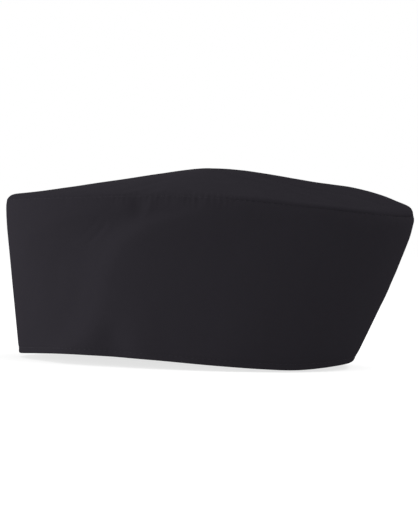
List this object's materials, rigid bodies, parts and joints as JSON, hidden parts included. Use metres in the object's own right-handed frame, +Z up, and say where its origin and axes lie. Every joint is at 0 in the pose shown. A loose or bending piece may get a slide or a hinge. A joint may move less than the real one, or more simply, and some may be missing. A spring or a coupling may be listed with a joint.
{
  "type": "chef toque",
  "caption": "Low chef's skull cap: lined oval side wall, soft domed crown, sweatband, and a back slit with lapped flaps closed by hook-and-loop tape.",
  "frame": {"origin": "middle of the cap's footprint (its bounding box seen from above), on the plane the rim rests on", "axes": "+Z up through the crown, -Y towards the wearer's face, +Y towards the back slit, +X towards the wearer's left ear"},
  "size_m": [0.1678, 0.2282, 0.1059],
  "materials": {
    "outer_twill": "matt black cotton and polyester twill",
    "lining_twill": "matt black lining, the same twill seen from the inside",
    "stiffener": "pale non-woven interlining",
    "sweatband_cloth": "matt black folded cotton",
    "thread": "black polyester sewing thread, slight sheen",
    "hook": "black moulded nylon hooks, slight gloss",
    "loop": "black brushed nylon loops",
    "label_satin": "blank off-white woven satin"
  },
  "bodies": {
    "cap": {"crown_tip": "outer_twill", "side_wall": "outer_twill", "wall_stiffener": "stiffener", "wall_lining": "lining_twill", "crown_seam_allowance": "lining_twill", "crown_topstitch": "thread", "rim_topstitch": "thread", "sweatband": "sweatband_cloth", "sweatband_stitching": "thread", "slit_bartack": "thread", "care_label_edge": "label_satin", "care_label_stitching": "thread"},
    "over_flap": {"over_flap": "outer_twill", "over_flap_stiffener": "stiffener", "over_flap_lining": "lining_twill", "over_flap_topstitch": "thread", "hook_tape": "hook", "hook_tape_stitching": "thread"},
    "under_flap": {"under_flap": "outer_twill", "under_flap_lining": "lining_twill", "under_flap_topstitch": "thread", "loop_tape": "loop", "loop_tape_stitching": "thread"},
    "care_label": {"care_label": "label_satin"}
  },
  "joints": [
    {"name": "over_flap_peel", "type": "hinge", "parent": "cap", "child": "over_flap", "pos_m": [0.00471, 0.09845, 0.035], "axis": [0.2728, -0.3584, -0.8928], "range_deg": [0, 80]},
    {"name": "under_flap_swing", "type": "hinge", "parent": "cap", "child": "under_flap", "pos_m": [-0.01525, 0.09064, 0.035], "axis": [-0.3052, -0.4097, -0.8597], "range_deg": [0, 28]},
    {"name": "care_label_turn", "type": "hinge", "parent": "cap", "child": "care_label", "pos_m": [-0.07952, 0.01345, 0.07], "axis": [-0.0886, -0.9961, 0], "range_deg": [0, 110]}
  ]
}
